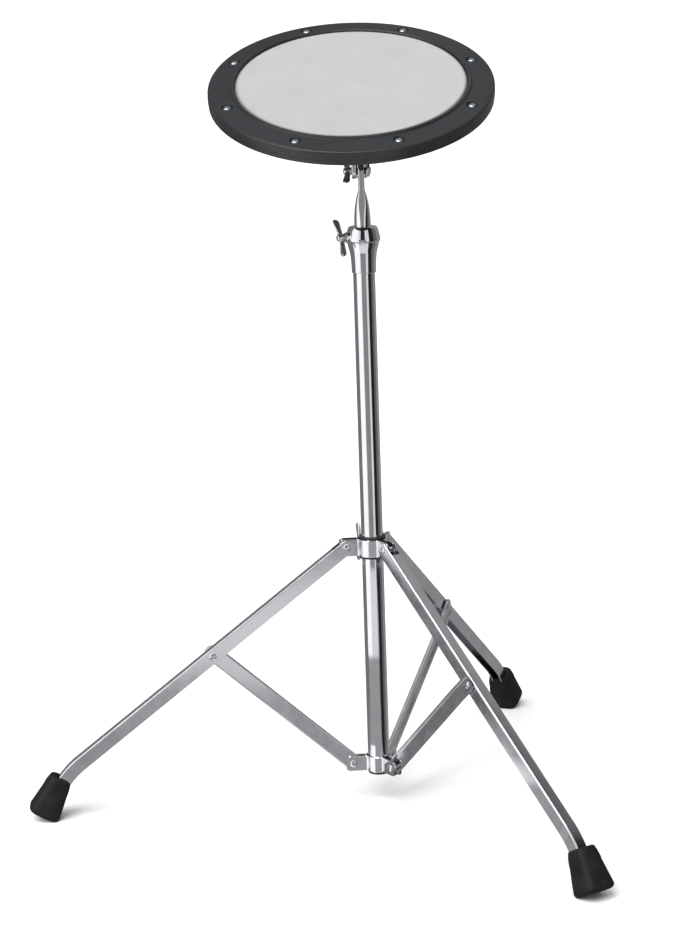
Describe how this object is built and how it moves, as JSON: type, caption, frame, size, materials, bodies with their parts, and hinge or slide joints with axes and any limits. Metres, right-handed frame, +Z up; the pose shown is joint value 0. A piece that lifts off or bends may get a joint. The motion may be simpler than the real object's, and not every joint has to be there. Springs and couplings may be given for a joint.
{
  "type": "drum practice pad stand",
  "caption": "Tilting round drum practice pad with a tensioned film head, on a height-adjustable folding tripod stand of chromed tube and braced channel legs with rubber feet.",
  "frame": {"origin": "middle of the bounding box's footprint, on the floor", "axes": "+Z up along the column; +X along the tilter's bolt; -Y towards the player"},
  "size_m": [0.6612, 0.7268, 0.915],
  "materials": {
    "chrome": "bright chrome plate",
    "zinc_steel": "dull plated steel",
    "dark_steel": "grey cast metal",
    "rim_plastic": "charcoal moulded plastic",
    "black_plastic": "black moulded plastic",
    "rubber": "black rubber",
    "film": "coated grey-white drum film",
    "foam": "dark closed-cell foam",
    "nylon": "off-white nylon",
    "brass": "turned brass"
  },
  "bodies": {
    "column": {"lower_tube": "chrome", "tube_end_plug": "black_plastic", "height_collar": "chrome", "height_bushing": "nylon", "base_plate_1": "zinc_steel", "base_plate_2": "zinc_steel", "base_plate_3": "zinc_steel", "strut_pivot_rivet_left": "zinc_steel", "strut_pivot_rivet_front": "zinc_steel", "strut_pivot_rivet_back": "zinc_steel"},
    "height_screw": {"height_wing_screw": "dark_steel"},
    "bracket": {"slide_liner": "black_plastic", "slide_plate_1": "zinc_steel", "slide_plate_2": "zinc_steel", "slide_plate_3": "zinc_steel", "leg_pivot_rivet_left": "zinc_steel", "leg_pivot_rivet_front": "zinc_steel", "leg_pivot_rivet_back": "zinc_steel"},
    "bracket_screw": {"slide_wing_screw": "dark_steel"},
    "mast": {"mast_guide": "nylon"},
    "upper": {"upper_tube": "chrome", "tilter_washer_left": "black_plastic", "tilter_washer_right": "black_plastic", "tilter_nut": "chrome"},
    "tilter_screw": {"tilter_wing_bolt": "dark_steel"},
    "pad": {"tilter_stem": "chrome", "pad_rim": "rim_plastic", "drumhead": "film", "flesh_hoop": "zinc_steel", "pad_base": "black_plastic", "foam_disc": "foam", "mount_insert": "brass", "lock_washer": "zinc_steel", "lock_nut": "zinc_steel", "rubber_ring": "rubber", "tension_screw_1": "zinc_steel", "tension_screw_2": "zinc_steel", "tension_screw_3": "zinc_steel", "tension_screw_4": "zinc_steel", "tension_screw_5": "zinc_steel", "tension_screw_6": "zinc_steel", "tension_screw_7": "zinc_steel", "tension_screw_8": "zinc_steel"},
    "leg_left": {"leg_left": "zinc_steel", "foot_left": "rubber", "knee_rivet_left": "zinc_steel"},
    "strut_left": {"strut_left": "zinc_steel"},
    "leg_front": {"leg_front": "zinc_steel", "foot_front": "rubber", "knee_rivet_front": "zinc_steel"},
    "strut_front": {"strut_front": "zinc_steel"},
    "leg_back": {"leg_back": "zinc_steel", "foot_back": "rubber", "knee_rivet_back": "zinc_steel"},
    "strut_back": {"strut_back": "zinc_steel"}
  },
  "joints": [
    {"name": "height_screw_turn", "type": "hinge", "parent": "column", "child": "height_screw", "pos_m": [0.0858, -0.01529, 0.67857], "axis": [-0.9063, -0.4226, 0], "continuous": true},
    {"name": "bracket_lift", "type": "slide", "parent": "column", "child": "bracket", "axis": [0, 0, 1], "range_m": [0, 0.15356]},
    {"name": "bracket_screw_turn", "type": "hinge", "parent": "bracket", "child": "bracket_screw", "pos_m": [0.0858, -0.01529, 0.31397], "axis": [-0.565, 0.8251, 0], "continuous": true},
    {"name": "leg_left_fold", "type": "hinge", "parent": "bracket", "child": "leg_left", "pos_m": [0.05539, -0.01763, 0.31497], "axis": [0.0767, -0.9971, 0], "range_deg": [0, 49.2]},
    {"name": "strut_left_fold", "type": "hinge", "parent": "column", "child": "strut_left", "pos_m": [0.05539, -0.01763, 0.04927], "axis": [-0.0767, 0.9971, 0], "range_deg": [0, 45.64]},
    {"name": "leg_front_fold", "type": "hinge", "parent": "bracket", "child": "leg_front", "pos_m": [0.10303, -0.04046, 0.31497], "axis": [0.8251, 0.565, 0], "range_deg": [0, 49.2]},
    {"name": "strut_front_fold", "type": "hinge", "parent": "column", "child": "strut_front", "pos_m": [0.10303, -0.04046, 0.04927], "axis": [-0.8251, -0.565, 0], "range_deg": [0, 45.64]},
    {"name": "leg_back_fold", "type": "hinge", "parent": "bracket", "child": "leg_back", "pos_m": [0.09898, 0.01222, 0.31497], "axis": [-0.9018, 0.4321, 0], "range_deg": [0, 49.2]},
    {"name": "strut_back_fold", "type": "hinge", "parent": "column", "child": "strut_back", "pos_m": [0.09898, 0.01222, 0.04927], "axis": [0.9018, -0.4321, 0], "range_deg": [0, 45.64]},
    {"name": "mast_lift", "type": "slide", "parent": "column", "child": "mast", "axis": [0, 0, 1], "range_m": [0, 0.3]},
    {"name": "mast_swivel", "type": "hinge", "parent": "mast", "child": "upper", "pos_m": [0.0858, -0.01529, 0.28997], "axis": [0, 0, 1], "continuous": true},
    {"name": "pad_tilt", "type": "hinge", "parent": "upper", "child": "pad", "pos_m": [0.0858, -0.01529, 0.75297], "axis": [1, 0, 0], "range_deg": [-113, 67]},
    {"name": "tilter_screw_turn", "type": "hinge", "parent": "upper", "child": "tilter_screw", "pos_m": [0.0858, -0.01529, 0.75297], "axis": [1, 0, 0], "continuous": true}
  ],
  "couplings": [
    {"joint": "leg_left_fold", "follows": "bracket_lift", "rad_per_m": 5.5866},
    {"joint": "strut_left_fold", "follows": "bracket_lift", "rad_per_m": 5.1819},
    {"joint": "leg_front_fold", "follows": "bracket_lift", "rad_per_m": 5.5866},
    {"joint": "strut_front_fold", "follows": "bracket_lift", "rad_per_m": 5.1819},
    {"joint": "leg_back_fold", "follows": "bracket_lift", "rad_per_m": 5.5866},
    {"joint": "strut_back_fold", "follows": "bracket_lift", "rad_per_m": 5.1819}
  ]
}
